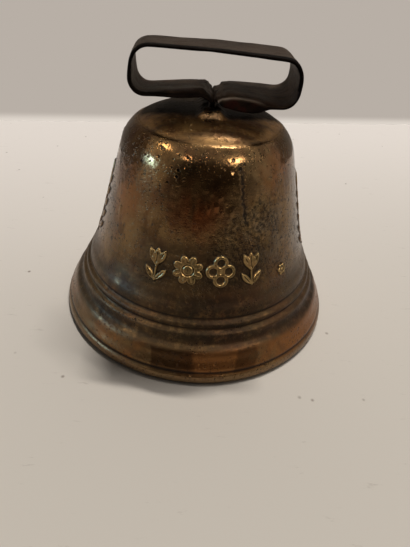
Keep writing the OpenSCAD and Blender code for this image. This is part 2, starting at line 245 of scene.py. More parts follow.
def along(line, where):
    return np.stack([np.interp(where, lineRun(line), line[:, i]) for i in (0, 1)], axis=1)


# the long facets eased into one curve
def easedOutline(points):
    line = np.array(points)
    length = lineRun(line)[-1]
    even = along(line, np.linspace(0, length, int(length / castSet["evenStep"])))
    reach, height = even.T
    free = np.clip((height - castSet["mouldTop"]) / castSet["wornFade"], castSet["worn"], 1)
    free = free * (height > castSet["lipKept"])
    fromEdge = (height - (height.max() - castSet["edgeDrop"])) / castSet["edgeKept"]
    free = free * np.minimum(np.clip(reach / castSet["axisKept"], 0, 1), 1 - np.exp(-fromEdge ** 2))
    for sweep in range(castSet["rounds"]):
        middle = (np.roll(even, 1, axis=0) + np.roll(even, -1, axis=0)) / 2
        even = even + (middle - even) * free[:, None] * castSet["easing"]
    return even


# rings close together on the mouldings and the shoulder, and wide apart inside
def ringPlaces(line):
    run = lineRun(line)
    crown = int(np.argmax(line[:, 1]))
    steps = np.where(line[:, 1] < castSet["mouldTop"], castSet["mouldStep"],
                     np.where(line[:, 1] > castSet["shoulderFoot"], castSet["shoulderStep"],
                              castSet["waistStep"]))
    steps[crown:] = castSet["innerStep"]
    count = np.concatenate([[0], np.cumsum(np.diff(run) / steps[1:])])
    return along(line, np.interp(np.linspace(0, count[-1], int(count[-1])), count, run))


def newObject(name, data):
    piece = bpy.data.objects.new(name, data)
    bpy.context.scene.collection.objects.link(piece)
    return piece


def outlineCurve(points):
    data = bpy.data.meshes.new("outlineLine")
    data.from_pydata([(x, 0, z) for x, z in points], [(i, i + 1) for i in range(len(points) - 1)], [])
    return newObject("outlineLine", data)


# a geometry tree with named inputs, the last of them plain numbers; values are given by the sockets'
# identifiers
def newTree(name, inputs, numbers):
    tree = bpy.data.node_groups.new(name, "GeometryNodeTree")
    tree.interface.new_socket(name="Geometry", in_out="INPUT", socket_type="NodeSocketGeometry")
    names = {}
    for label, kind in {**inputs, **dict.fromkeys(numbers, "Float")}.items():
        socket = tree.interface.new_socket(name=label, in_out="INPUT", socket_type="NodeSocket" + kind)
        names[label] = socket.identifier
    tree.interface.new_socket(name="Geometry", in_out="OUTPUT", socket_type="NodeSocketGeometry")
    net = NodeNet(tree)
    entry = net.add("NodeGroupInput", out="all")
    given = {wire.socket.name: wire for wire in entry if wire.socket.name}
    return tree, net, given, names


def closeTree(net, geometry, material):
    eased = net.add("GeometryNodeSetShadeSmooth", {}, {"Geometry": geometry})
    plain = net.add("GeometryNodeRealizeInstances", {}, {0: eased})
    done = net.add("GeometryNodeSetMaterial", {}, {"Geometry": plain, "Material": material})
    net.add("NodeGroupOutput", {}, {0: done})


# the piece as its modifiers leave it, as a plain mesh
def applied(piece):
    bpy.context.view_layer.update()
    graph = bpy.context.evaluated_depsgraph_get()
    made = bpy.data.meshes.new_from_object(piece.evaluated_get(graph), depsgraph=graph)
    piece.modifiers.clear()
    piece.data = made
    return piece


def grow(name, tree, names, values):
    piece = newObject(name, bpy.data.meshes.new(name))
    growth = piece.modifiers.new("growth", "NODES")
    growth.node_group = tree
    for label, value in values.items():
        growth[names[label]] = value
    return applied(piece)


# a sheet rolled round the axis to the outline, with its columns closer together in front
def rolledSheet(net, given):
    sheet = net.add("GeometryNodeMeshGrid", {}, {
        "Size X": 1.0, "Size Y": 1.0, "Vertices X": given["rings"], "Vertices Y": given["columns"]})
    spread = net.parts(net.add("GeometryNodeInputPosition"))
    ring = net.maths("ROUND", (spread[0] + 0.5) * (given["rings"] - 1))
    about = spread[1] + 0.5
    outline = net.add("GeometryNodeObjectInfo", {}, {"Object": given["outline"]}, out="Geometry")
    sample = net.add("GeometryNodeSampleIndex", {"data_type": "FLOAT_VECTOR", "domain": "POINT"},
                     {"Geometry": outline, "Value": net.add("GeometryNodeInputPosition"), "Index": ring})
    radius, unused, height = net.parts(sample)
    full = 2 * math.pi
    turn = (about - 0.5) * full + given["frontShare"] * net.maths("SINE", about * full)
    inside = net.maths("GREATER_THAN", ring, given["crownRing"])
    sheet = net.add("GeometryNodeStoreNamedAttribute", {"data_type": "FLOAT", "domain": "POINT"},
                    {"Geometry": sheet, "Name": "inside", "Value": inside})
    skin = net.add("GeometryNodeSetPosition", {}, {"Geometry": sheet, "Position": net.vector(
        radius * net.maths("SINE", turn), 0 - radius * net.maths("COSINE", turn), height)})
    weld = castSet["weld"]
    return net.add("GeometryNodeMergeByDistance", {}, {"Geometry": skin, "Distance": weld})


# the boss stands out of the crown as a lumpy block with a run-out foot
def bossHeap(net, given, place, shifted):
    x, y, z = net.parts(place)
    bossX, bossY, unused = net.parts(given["boss"])
    overX = net.most(net.size(x - bossX) - given["bossHalfX"] + castSet["bossInset"], 0.0)
    overY = net.most(net.size(y - bossY) - given["bossHalfY"] + castSet["bossInset"], 0.0)
    away = net.maths("SQRT", overX * overX + overY * overY)
    inside = net.add("GeometryNodeInputNamedAttribute", {"data_type": "FLOAT"}, {"Name": "inside"})
    lump = (net.noise(shifted, castSet["lumpScale"], 2.0, 0.6) - 0.55) * given["bossLump"] * 2
    block = 1 - net.ease(away, 0.0, given["bossFoot"])
    return block * (given["bossTall"] + lump) * net.ease(z, *castSet["bossFrom"]) * (1 - inside)


def castingTree(material):
    tree, net, given, names = newTree(
        "castingSkin",
        {"outline": "Object", "rings": "Int", "crownRing": "Int", "columns": "Int", "boss": "Vector"},
        ("frontShare", "dent", "grain", "pit", "waver", "bossHalfX", "bossHalfY", "bossTall",
         "bossFoot", "bossLump", "seed"))
    skin = rolledSheet(net, given)
    place = net.add("GeometryNodeInputPosition")
    shifted = net.vectors("ADD", place, net.vector(given["seed"], 0.0, 0.0))
    height = net.parts(place)[2]

    def uneven(label, detail):
        return (net.noise(shifted, castSet[label + "Scale"], detail) - 0.5) * given[label] * 2

    # along the normal, and none on the flat of the lip
    stands = net.ease(height, 0.0, castSet["flatFade"])
    pit = net.holes(shifted, *castSet["pitHoles"]) * given["pit"]
    for label in ("pitFields", "pitPlaces"):
        scale, low, high = castSet[label]
        pit = pit * net.ease(net.noise(shifted, scale, 1.0), low, high)
    pit = pit * net.ease(height, *castSet["pitFoot"])
    rise = (uneven("dent", 1.5) + uneven("grain", 2.0) - pit) * stands
    lift = net.add("ShaderNodeVectorMath", {"operation": "SCALE"},
                   {0: net.add("GeometryNodeInputNormal"), "Scale": rise})
    sway = uneven("waver", 1.0) * stands * (1 - net.ease(height, *castSet["waverEnd"]))
    upward = net.vector(0.0, 0.0, sway + bossHeap(net, given, place, shifted))
    skin = net.add("GeometryNodeSetPosition", {}, {
        "Geometry": skin, "Offset": net.vectors("ADD", lift, upward)})
    closeTree(net, skin, material)
    return tree, names


# the flat top of the crown's boss
def bossBox(node):
    top = max(v.co.z for v in node.data.vertices)
    edge = [v.co for v in node.data.vertices if v.co.z > top - 0.01 * mm]
    low = Vector((min(p.x for p in edge), min(p.y for p in edge), top))
    high = Vector((max(p.x for p in edge), max(p.y for p in edge), top))
    return low, high


# the piece's mesh for editing, with its doubles merged
def merged(piece):
    work = bmesh.new()
    work.from_mesh(piece.data)
    bmesh.ops.remove_doubles(work, verts=work.verts, dist=1e-6)
    return work


def makeCasting(material):
    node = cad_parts["bell_casting"]
    eased = easedOutline(outlinePoints(node))
    rings = ringPlaces(eased)
    line = outlineCurve(rings)
    low, high = bossBox(node)
    tree, names = castingTree(material)
    values = {
        "outline": line, "rings": len(rings), "crownRing": int(np.argmin(rings[:, 0])),
        "boss": (low + high) / 2, "bossHalfX": (high.x - low.x) / 2, "bossHalfY": (high.y - low.y) / 2,
        "bossTall": high.z - rings[:, 1].max()}
    values.update({label: castSet[label] for label in names if label in castSet})
    casting = grow("cast_bell", tree, names, values)
    bpy.data.objects.remove(line)
    work = merged(casting)
    bmesh.ops.recalc_face_normals(work, faces=work.faces)
    work.to_mesh(casting.data)
    work.free()
    return casting, eased


def smooth(share):
    share = np.clip(share, 0, 1)
    return share * share * (3 - 2 * share)


# 0 up to the start and 1 from the full value on, either way round
def grows(value, start, full):
    return smooth((value - start) / (full - start))


# drawings of the low cast ornaments, all in mm and degrees

drawSet = {
    "veinHalf": 0.42,
    "veinFade": 1.2,
    "veinSpan": (0.08, 0.86),  # a vein's ends, as shares of its leaf
    # foot, lean, length and width of each leaf
    "tulip": [((0, -5.9), 38, 6.2, 2.5), ((0, -5.9), -38, 6.2, 2.5),
              ((0, -0.4), 27, 6.6, 3.0), ((0, -0.4), -27, 6.6, 3.0), ((0, -0.6), 0, 6.6, 3.1)],
    "tulipStem": (0.55, -3.2, 3.0),  # half width, middle and half height
    "tulipCup": (0.9, 0.9, 1.5),  # height, squeeze and radius
    "rosette": (5.4, 8, 0.5),  # radius, petals and turn
    "star": (2.4, 6, 0.0),
    "petal": (0.66, 0.6),  # how deep the petals are cut, and how round they are
    "crease": (0.2, 0.42, 0.86),  # width, and its ends as shares of the radius
    "centre": (0.34, 0.5),  # radius of the ring in the middle, and its line
    "lobes": ((2.5, 0), (-2.5, 0), (0, 3.0), (0, -3.0)),
    "lobe": (2.75, 1.15, 1.5),  # radius, rim and depth of the hollow
    "bead": 1.6,
    "sprigTip": ((0.0, 8.0), 0, 8.0, 3.4),
    "sprigPairs": 5,
    "sprigStem": (0.45, -3.0, 12.5),
    "sprigFirst": (-13.5, 52, 7.4),  # height, lean and length of the lowest pair
    "sprigStep": (4.6, -4, -0.4),  # and what each pair further up adds
    "sprigWidth": 2.9,
    "sprigAside": (0.3, 1.1),  # off the stem, and up on the right
}


# distance to a pointed leaf that stands on its foot, negative inside, and its vein
def leaf(x, y, foot, lean, length, width):
    angle = math.radians(-lean)
    x, y = x - foot[0], y - foot[1]
    u = x * math.cos(angle) + y * math.sin(angle)
    v = y * math.cos(angle) - x * math.sin(angle)
    half = length / 2
    bow = (half ** 2 + (width / 2) ** 2) / width
    off = bow - width / 2
    gap = np.maximum(np.hypot(u - off, v - half), np.hypot(u + off, v - half)) - bow
    start, end = (share * length for share in drawSet["veinSpan"])
    vein = grows(np.abs(u), drawSet["veinHalf"], 0)
    vein = vein * grows(v, start, start + drawSet["veinFade"])
    return gap, vein * grows(v, end, end - drawSet["veinFade"])


def leaves(x, y, stand):
    gap = np.full(x.shape, np.inf)
    vein = np.zeros(x.shape)
    for foot, lean, length, width in stand:
        newGap, newVein = leaf(x, y, foot, lean, length, width)
        vein = np.where(newGap < 0, newVein, vein)
        gap = np.minimum(gap, newGap)
    return gap, vein


def bar(x, y, halfWidth, middle, halfHeight):
    return np.maximum(np.abs(x) - halfWidth, np.abs(y - middle) - halfHeight)


# a tulip on its stem with two leaves
def tulip(x, y):
    gap, vein = leaves(x, y, drawSet["tulip"])
    height, squeeze, radius = drawSet["tulipCup"]
    cup = np.hypot(x, (y - height) * squeeze) - radius
    return np.minimum(np.minimum(gap, bar(x, y, *drawSet["tulipStem"])), cup), vein


def petals(x, y, radius, count, turn):
    away = np.hypot(x, y)
    angle = np.arctan2(y, x) * count / 2 + turn * math.pi
    cut, roundness = drawSet["petal"]
    edge = radius * (cut + (1 - cut) * np.abs(np.cos(angle)) ** roundness)
    width, start, end = drawSet["crease"]
    vein = grows(np.abs(np.sin(angle)), width, 0)
    vein = vein * smooth((away - start * radius) / 0.6) * smooth((end * radius - away) / 0.8)
    ring, line = drawSet["centre"]
    return away - edge, np.maximum(vein, grows(np.abs(away - ring * radius), line, 0))


def rosette(x, y):
    return petals(x, y, *drawSet["rosette"])


def star(x, y):
    return petals(x, y, *drawSet["star"])


def quatrefoil(x, y):
    radius, rim, depth = drawSet["lobe"]
    gap = np.minimum.reduce([np.hypot(x - a, y - b) - radius for a, b in drawSet["lobes"]])
    hollow = smooth((-gap - rim) / 0.5)
    bead = smooth((drawSet["bead"] - np.hypot(x, y)) / 0.5)
    return gap, np.clip(hollow - bead, 0, 1) * depth


def sprig(x, y):
    stand = [drawSet["sprigTip"]]
    aside, upOnRight = drawSet["sprigAside"]
    for pair in range(drawSet["sprigPairs"]):
        height, lean, length = (first + pair * step for first, step in zip(
            drawSet["sprigFirst"], drawSet["sprigStep"]))
        for side in (1, -1):
            foot = (aside * side, height + upOnRight * (side > 0))
            stand.append((foot, side * lean, length, drawSet["sprigWidth"]))
    gap, vein = leaves(x, y, stand)
    stem = bar(x + 0.25 * np.sin(y / 3), y, *drawSet["sprigStem"])  # it winds a little
    return np.minimum(gap, stem), vein


# a height field on a flat sheet, which a tree then wraps on the skin

reliefSet = {
    "cell": 0.2 * mm,
    "sink": 0.35 * mm,  # the sheet's border lies this deep under the skin
    "back": 0.7 * mm,  # and its closed back this deep
    "margin": 0.6,  # width of the border, in mm
    "slope": 0.75,  # width of a relief's side, in mm
    "outset": 0.12,  # and how far outside its line the side starts
    "carved": 0.5,  # depth of the veins, as a share of the relief
    "grain": 0.07 * mm,
}

# drawing, height of the relief, half its sheet in mm, how many, azimuth of the first, degrees on to
# the next, and height on the bell
ornamentSet = {
    "row_tulips": (tulip, 0.8 * mm, (5.6, 7.4), 2, -23.0, 48.0, 37 * mm),
    "row_rosette": (rosette, 0.8 * mm, (6.4, 6.4), 1, -7.0, 0.0, 37 * mm),
    "row_quatrefoil": (quatrefoil, 0.8 * mm, (6.2, 6.6), 1, 9.0, 0.0, 37 * mm),
    "small_star": (star, 0.56 * mm, (3.0, 3.0), 1, 45.4, 0.0, 32.5 * mm),
    "side_sprigs": (sprig, 0.5 * mm, (8.2, 17.4), 2, -83.0, 166.0, 44 * mm),
}


def reliefMesh(name, drawing, tall, halfSheet):
    step = reliefSet["cell"] / mm
    x, y = np.meshgrid(*(np.arange(-half, half + 0.01, step) for half in halfSheet))
    gap, carve = drawing(x, y)
    margin, outset = reliefSet["margin"], reliefSet["outset"]
    stand = smooth((outset - gap) / reliefSet["slope"])
    border = grows(gap, margin, outset)
    rise = stand * (1 - reliefSet["carved"] * carve) * tall - (1 - border) * reliefSet["sink"]
    kept = np.full(x.shape, -1)
    inside = gap < margin
    count = int(inside.sum())
    kept[inside] = np.arange(count)
    places = np.stack([x[inside] * mm, y[inside] * mm, rise[inside]], axis=1)
    under = places.copy()
    under[:, 2] = -reliefSet["back"]
    corners = np.stack([kept[:-1, :-1], kept[:-1, 1:], kept[1:, 1:], kept[1:, :-1]], axis=-1)
    top = corners[(corners >= 0).all(axis=2)]
    sides = np.concatenate([top[:, [i, (i + 1) % 4]] for i in range(4)])
    known = {tuple(pair) for pair in sides.tolist()}
    rim = [(a, b) for a, b in known if (b, a) not in known]
    faces = top.tolist() + (top[:, ::-1] + count).tolist()
    faces += [(b, a, a + count, b + count) for a, b in rim]
    data = bpy.data.meshes.new(name)
    data.from_pydata(np.concatenate([places, under]).tolist(), [], faces)
    raised = (stand * (1 - 0.75 * np.clip(carve, 0, 1)))[inside]  # the veins keep some dirt
    keepShare(data, "high", np.concatenate([raised, np.zeros(count)]))
    return newObject(name, data)


def keepShare(data, label, share):
    layer = data.attributes.new(label, "FLOAT", "POINT")
    layer.data.foreach_set("value", share.astype(np.float32))


def reliefTree(material):
    tree, net, given, names = newTree(
        "reliefRow", {"pattern": "Object", "outline": "Object", "count": "Int"},
        ("first", "step", "run", "radius", "grain"))
    turns = given["first"] + given["step"] * net.add("GeometryNodeInputIndex")
    spots = net.add("GeometryNodePoints", {}, {"Count": given["count"], "Position": net.vector(
        turns * given["radius"], 0.0, 0.0)})
    shape = net.add("GeometryNodeObjectInfo", {}, {"Object": given["pattern"]}, out="Geometry")
    row = net.add("GeometryNodeInstanceOnPoints", {}, {"Points": spots, "Instance": shape})
    row = net.add("GeometryNodeRealizeInstances", {}, {0: row})
    place = net.add("GeometryNodeInputPosition")
    u, v, w = net.parts(place)
    w = w + (net.noise(place, 700.0, 2.0) - 0.5) * given["grain"] * 2
    outline = net.add("GeometryNodeObjectInfo", {}, {"Object": given["outline"]}, out="Geometry")
    curve = net.add("GeometryNodeMeshToCurve", {}, {"Mesh": outline})
    spot, tangent = (net.add("GeometryNodeSampleCurve", {"mode": "LENGTH"}, {
        "Curves": curve, "Length": given["run"] + v}, out=out) for out in ("Position", "Tangent"))
    radius, unused, height = net.parts(spot)
    tangentX, unused, tangentZ = net.parts(tangent)
    turn = net.maths("DIVIDE", u, given["radius"])
    reach = radius + w * tangentZ
    row = net.add("GeometryNodeSetPosition", {}, {"Geometry": row, "Position": net.vector(
        reach * net.maths("SINE", turn), 0 - reach * net.maths("COSINE", turn), height - w * tangentX)})
    closeTree(net, row, material)
    return tree, names


def makeReliefs(material, skin):
    line = outlineCurve(skin)
    tree, names = reliefTree(material)
    outer = skin[:int(np.argmax(skin[:, 1]))]
    first = int(np.argmax(outer[:, 0]))
    run = lineRun(skin)[first:len(outer)]
    reach, heights = outer[first:].T
    made = []
    for name, values in ornamentSet.items():
        drawing, tall, halfSheet, count, start, step, height = values
        pattern = reliefMesh(name + "_flat", drawing, tall, halfSheet)
        made.append(grow(name, tree, names, {
            "pattern": pattern, "outline": line, "count": count, "first": math.radians(start),
            "step": math.radians(step), "run": float(np.interp(height, heights, run)),
            "radius": float(np.interp(height, heights, reach)), "grain": reliefSet["grain"]}))
        bpy.data.objects.remove(pattern)
    bpy.data.objects.remove(line)
    return made


# the iron band; in each pair a share starts at the first value and is full at the second, in mm

strapSet = {
    "levels": 2,
    "closing": 0.42,  # mm that each half moves to meet the other in the V
    "reachLeft": 1.5,  # mm that its front corner moves on
    "reachRight": 2.3,
    "liftLeft": 1.2,  # mm that the left half's front margin is bent up
    "droopLeft": 1.2,  # mm that the front margin is rolled down beside the V
    "droopRight": 0.9,
    "nearMiddle": (7.7, 1.2),
    "aboveCrown": (78.6, 81.2),
    "belowLoop": 90,
    "inFront": (-7.5, -13.0),
    "besideMiddle": (5.0, 1.0),
    "liftFront": (-2.0, -12.0),
    "liftInner": (1.5, 4.5),
    "liftOuter": (26.0, 4.0),
    "lens": (-10.7, 10.5, 8, 2.4),  # front, middle, half length and bow of the right half's lens
    "lensRoll": (0, 1.8),
    "lensEdge": (0, 0.5),
    "lowHalf": 88,
    "rimMargin": (2.6, 1.2),
    "foldAcross": (-8.0, -3.0),
    "foldFront": (-8.5, -10.5),
    "sideFace": (0.25, 0.75),  # how far a face looks to the front or the back
    "rubbedHighlightEnd": (17.0, 12.0),
    "clear": 3 * mm,  # the hammering comes in over this height above the boss
    "wrinkle": 0.5 * mm,
    "wrinkleScale": 480.0,
    "hammer": 0.12 * mm,
    "hammerScale": 190.0,
    "fine": 0.02 * mm,
    "fineScale": 900.0,
}


def copyOfNode(name, node):
    piece = newObject(name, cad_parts[node].data.copy())
    work = merged(piece)
    bmesh.ops.join_triangles(work, faces=work.faces, angle_face_threshold=math.radians(40),
                             angle_shape_threshold=math.radians(60))
    work.to_mesh(piece.data)
    work.free()
    return piece


def meshArrays(data):
    arrays = []
    for label in ("co", "normal"):
        values = np.zeros(len(data.vertices) * 3)
        data.vertices.foreach_get(label, values)
        arrays.append(values.reshape(-1, 3))
    return arrays


def finishMesh(piece, places, material):
    piece.data.vertices.foreach_set("co", places.ravel())
    piece.data.update()
    piece.data.materials.clear()
    piece.data.materials.append(material)
    for face in piece.data.polygons:
        face.use_smooth = True
    return piece


# how far in mm a point lies in the lens along the front margin of the right half
def lensMargin(x, y):
    front, middle, half, bow = strapSet["lens"]
    return front - y - ((x - middle) / half) ** 2 * bow


# the halves are hammered together in the V, and their front margins rolled down over it
def pinched(places):
    x, y, z = (places / mm).T
    aside = np.abs(x)
    left = x < 0
    near = grows(aside, *strapSet["nearMiddle"])
    high = grows(z, *strapSet["aboveCrown"]) * (z < strapSet["belowLoop"])
    front = grows(y, *strapSet["inFront"])
    shift = strapSet["closing"] + front * np.where(left, strapSet["reachLeft"], strapSet["reachRight"])
    most = strapSet["closing"] + np.maximum(0, aside - 1.1) * 0.75  # so that the halves don't cross
    shift = np.minimum(shift, most) * near * high
    raised = grows(y, *strapSet["liftFront"]) * grows(aside, *strapSet["liftInner"])
    raised = raised * grows(aside, *strapSet["liftOuter"])
    leftDroop = front * grows(aside, *strapSet["besideMiddle"]) * strapSet["droopLeft"]
    leftDroop = leftDroop - raised * strapSet["liftLeft"]
    rightDroop = grows(lensMargin(x, y), *strapSet["lensRoll"]) * strapSet["droopRight"]
    droop = np.where(left, leftDroop, rightDroop) * high
    return np.stack([x - np.sign(x) * shift, y, z - droop], axis=1) * mm, near * high


# painted shade and dark reflection on the faces that look to the front or back, on the front margin and
# in the left half's fold, and as a dark red lens on the right half's front margin beside the V; a
# painted highlight, partly worn, runs along the lens's edge
def strapShares(places, normals):
    x, y, z = (places / mm).T
    margin = lensMargin(x, y)
    under = z < strapSet["lowHalf"]
    low = (x > 0.4) * under * (normals[:, 2] > -0.2)
    lens = grows(margin, *strapSet["lensEdge"]) * low
    rim = grows(y - y.min(), *strapSet["rimMargin"]) * (1 - low)
    fold = grows(x, *strapSet["foldAcross"]) * grows(y, *strapSet["foldFront"]) * (x < -0.4) * under
    side = grows(np.abs(normals[:, 1]), *strapSet["sideFace"])
    # a painted highlight along the crest at the lens's edge, partly worn iron
    rubbedAndHighlight = np.exp(-((margin + 0.25) / 0.3) ** 2) * low * grows(x, *strapSet["rubbedHighlightEnd"])
    return {"edge": np.maximum.reduce([side, lens, rim, fold]), "rubbedAndHighlight": rubbedAndHighlight, "lens": lens}


def makeStrap(material):
    piece = copyOfNode("iron_band", "collar_strap")
    smoothing = piece.modifiers.new("smooth", "SUBSURF")
    smoothing.levels = strapSet["levels"]
    smoothing.render_levels = strapSet["levels"]
    applied(piece)
    bossTop = bossBox(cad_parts["bell_casting"])[1].z
    places, normals = meshArrays(piece.data)
    for label, share in strapShares(places, normals).items():
        keepShare(piece.data, label, share)
    places, near = pinched(places)
    for index, place in enumerate(places):
        clear = min(1.0, max(0.0, (place[2] - bossTop) / strapSet["clear"]))
        stretched = Vector((place[0] * 2.4, place[1] * 0.6, place[2])) * strapSet["wrinkleScale"]
        beat = noise.noise(stretched) * strapSet["wrinkle"] * near[index]
        for label in ("hammer", "fine"):
            beat += noise.noise(Vector(place) * strapSet[label + "Scale"]) * strapSet[label]
        places[index] = place + normals[index] * beat * clear
    return finishMesh(piece, places, material)


# the rivet and the clapper, remeshed so that no edge is sharper than forging leaves it

forgedSet = {
    "hanger_pin": {"name": "forged_rivet", "body": "bell", "voxel": 0.22 * mm, "beat": 0.05 * mm},
    "clapper": {"name": "forged_clapper", "body": "clapper", "voxel": 0.36 * mm, "beat": 0.16 * mm},
}


def makeForged(node, material):
    values = forgedSet[node]
    piece = copyOfNode(values["name"], node)
    remesh = piece.modifiers.new("remesh", "REMESH")
    remesh.mode = "VOXEL"
    remesh.voxel_size = values["voxel"]
    easing = piece.modifiers.new("easing", "SMOOTH")
    easing.iterations = 3
    applied(piece)
    places, normals = meshArrays(piece.data)
    for index, place in enumerate(places):
        beat = noise.noise(Vector(place) * strapSet["hammerScale"]) - 0.5
        places[index] = place + normals[index] * beat * values["beat"]
    return finishMesh(piece, places, material)


# the cast brass

brassSet = {
    "golden": colour(124, 97, 63),
    "brown": colour(98, 69, 45),
    "olive": colour(82, 68, 44),
    # the grey is a painted sheen, the pale room seen in the flanks
    "grey": colour(126, 111, 96),
    "red": colour(116, 60, 26),
    "orange": colour(130, 86, 48),
    # gold; on the left of the shoulder it is a painted sheen
    "gold": colour(190, 144, 86),
    # worn brass; on the bead crests, the rim and the flecks of the dull field it is partly painted light
    "worn": colour(150, 120, 84),
    # the ornaments' bright rims, partly rubbed and partly a painted highlight
    "relief": colour(178, 150, 100),
    # bare brass on the boss, partly rubbed and partly a painted highlight
    "bare": colour(196, 154, 112),
    # dirt, also used for the painted shade under the band
    "dirt": colour(16, 11, 7),
    # a dark brown; in the middle of the front and on the lip it is partly a painted dark reflection
    "shade": colour(64, 42, 24),
    "soot": colour(48, 42, 36),
    "rough": 0.2,
    "metal": 0.94,
    # azimuth and height of the scars on the shoulder, and their reach in mm
    "scars": [(-48, 68), (-33, 71.5), (-17, 69.5), (13, 70.5), (20, 70), (-20, 65)],
    "scarReach": 5.2,
}


# fine lumps and sand grain in mm, which every brass piece shares
def brassHeight(net, place):
    fine = net.noise(place, 1150.0, 3.0, 0.6)
    sand = net.noise(place, 420.0, 3.0, 0.55)
    return (fine - 0.5) * 0.034 + (sand - 0.5) * 0.08


# a patch is placed by its azimuth from the front towards +X, distance from the axis and height
def castBrass():
    material, net = newFinish("castBrass")
    place = objectPlace(net)
    x, y, z = net.parts(place)
    inside = net.named("inside")
    base = brassSet["golden"]
    ease = net.ease

    def coat(tone, share):
        nonlocal base
        base = net.tint(base, brassSet[tone], share)

    def patch(azimuth, away, height, reach, soft=1.0):
        turn = math.radians(azimuth)
        centre = Vector((math.sin(turn) * away, -math.cos(turn) * away, height)) * mm
        return net.spot(place, centre, reach * mm, soft)

    def belt(height, half, soft=1.0):
        return net.band(z, height * mm, half * mm, soft)

    def above(low, high):
        return ease(z, low * mm, high * mm)

    slow = net.noise(place, 30.0, 3.0)
    mid = net.noise(place, 95.0, 5.0, 0.6)
    drift = mid - 0.5
    drawn = net.noise(net.scaled(place, (1, 1, 0.3)), 300.0, 5.0, 0.65)
    level = net.noise(net.scaled(place, (1, 1, 7)), 75.0, 4.0, 0.6)
    mottle = net.noise(place, 290.0, 6.0, 0.7)
    grit = net.noise(place, 900.0, 4.0, 0.65)
    grain = net.noise(place, 900.0, 4.0, 0.75)
    coat("brown", ease(slow * 0.6 + drawn * 0.4, 0.42, 0.6))
    coat("olive", ease(mid * 0.6 + level * 0.4, 0.46, 0.6) * 0.6)

    # a painted grey sheen on the two flanks and right of the row, where the metal would show a pale
    # room, and a red-brown field in the middle of the front, partly patina and partly a painted dark
    # reflection of the room behind the camera
    flank = net.most(patch(62, 40, 46, 36), patch(-82, 42, 44, 28), patch(27, 36, 48, 15) * 0.8)
    # painted grey sheen, the pale room seen in the flanks
    coat("grey", ease(mottle * 0.5 + mid * 0.5, 0.42, 0.58) * flank * 0.9)
    # the brown and red-brown in the middle of the front: partly patina, partly a painted dark reflection
    # of the room behind the camera
    coat("shade", patch(2, 32, 61, 15) * ease(slow, 0.25, 0.55) * 0.45)
    coat("red", patch(-4, 34, 55, 14) * ease(drawn * 0.5 + slow * 0.5, 0.34, 0.56) * 0.7)
    # a painted golden sheen, the room seen in the left of the shoulder
    coat("gold", patch(-36, 31, 67, 11) * ease(mid, 0.35, 0.55) * 0.5)

    # a dull speckled field below a line that rises to the right, and a fine crack in it
    under = ease(x * 0.72 + 48.8 * mm - z + drift * (14 * mm), 0.0, 3 * mm)
    dull = under * ease(x, -3 * mm, 5 * mm) * above(28, 34)
    dull = dull * (1 - ease(x, 17 * mm, 26 * mm) * 0.7)
    coat("olive", dull * 0.5)
    coat("dirt", dull * ease(grain, 0.5, 0.6) * 0.7)
    # light flecks in the dull field, partly worn metal and partly painted glints
    coat("worn", dull * (1 - ease(grain, 0.38, 0.46)) * 0.5)
    across = x * 0.937 + y * 0.350 + drift * (9 * mm) + (mottle - 0.5) * (4 * mm)
    crack = net.band(across, 0.4 * mm, 1.1 * mm) * ease(x, 0.0, mm) * belt(60, 10.5, 0.3)
    crack = crack * ease(grit, 0.3, 0.44)

    # warm fields on both sides, stains, and drips on the shoulder
    warm = net.most(patch(48, 31, 66, 14), patch(-50, 36, 55, 15))
    coat("orange", warm * ease(drawn * 0.5 + mid * 0.5, 0.38, 0.56) * 0.8)
    stains = net.noise(net.scaled(place, (1, 1, 0.6)), 150.0, 5.0, 0.65)
    coat("shade", ease(stains, 0.5, 0.62) * above(28, 36) * 0.5)
    drips = net.noise(net.scaled(place, (1, 1, 0.12)), 300.0, 2.0)
    drips = ease(drips, 0.52, 0.64) * ease(mid, 0.3, 0.55)
    coat("dirt", drips * patch(-10, 32, 60, 17) * 0.6)

    # the lip is brown copper in patches, partly worn and partly a painted warm reflection of the lit
    # table, and dark in front as a painted reflection of the room behind the camera; the beads and the
    # rim are rubbed, and lighter partly as painted light
    lip = belt(7.6, 4.8, 0.35)
    copper = ease(slow * 0.55 + mid * 0.45, 0.42, 0.52)
    # brown copper, partly worn and partly a painted warm reflection of the lit table
    coat("orange", lip * copper * 0.9)
    # dark patches in front of the lip, a painted dark reflection of the room behind the camera
    ragged = x + drift * (9 * mm)
    dark = net.band(ragged, 17.3 * mm, 4.4 * mm, 0.3) * 0.8
    dark = net.most(dark, net.band(ragged, -8.5 * mm, 9 * mm, 0.2)) * ease(0 - y, 0.0, 10 * mm)
    coat("shade", lip * net.most(dark, (1 - copper) * 0.35) * 0.85)
    beads = net.most(belt(20, 1.1), belt(17, 1.1), belt(2.4, 2.2), belt(24.6, 1.2))
    # lighter bead crests, partly rubbed and partly a painted highlight
    coat("worn", beads * ease(grit, 0.42, 0.6) * 0.3)
    # the rim is lighter, partly worn where it stands and partly a painted lightening against its dark
    # reflection of the table's shadow
    rim = 1 - above(2.4, 4.0)
    coat("worn", rim * (1 - inside) * 0.35)

    # dirt in the grooves, round the ornaments and in specks, and soot; the mouldings are darker, most of
    # all in front
    groove = net.most(belt(21.5, 1.0), belt(18.4, 1.0), belt(4.6, 1.1), belt(74.0, 0.4) * 0.7)
    row = belt(37, 11, 0.5) * patch(1, 42, 36, 34, 0.5)
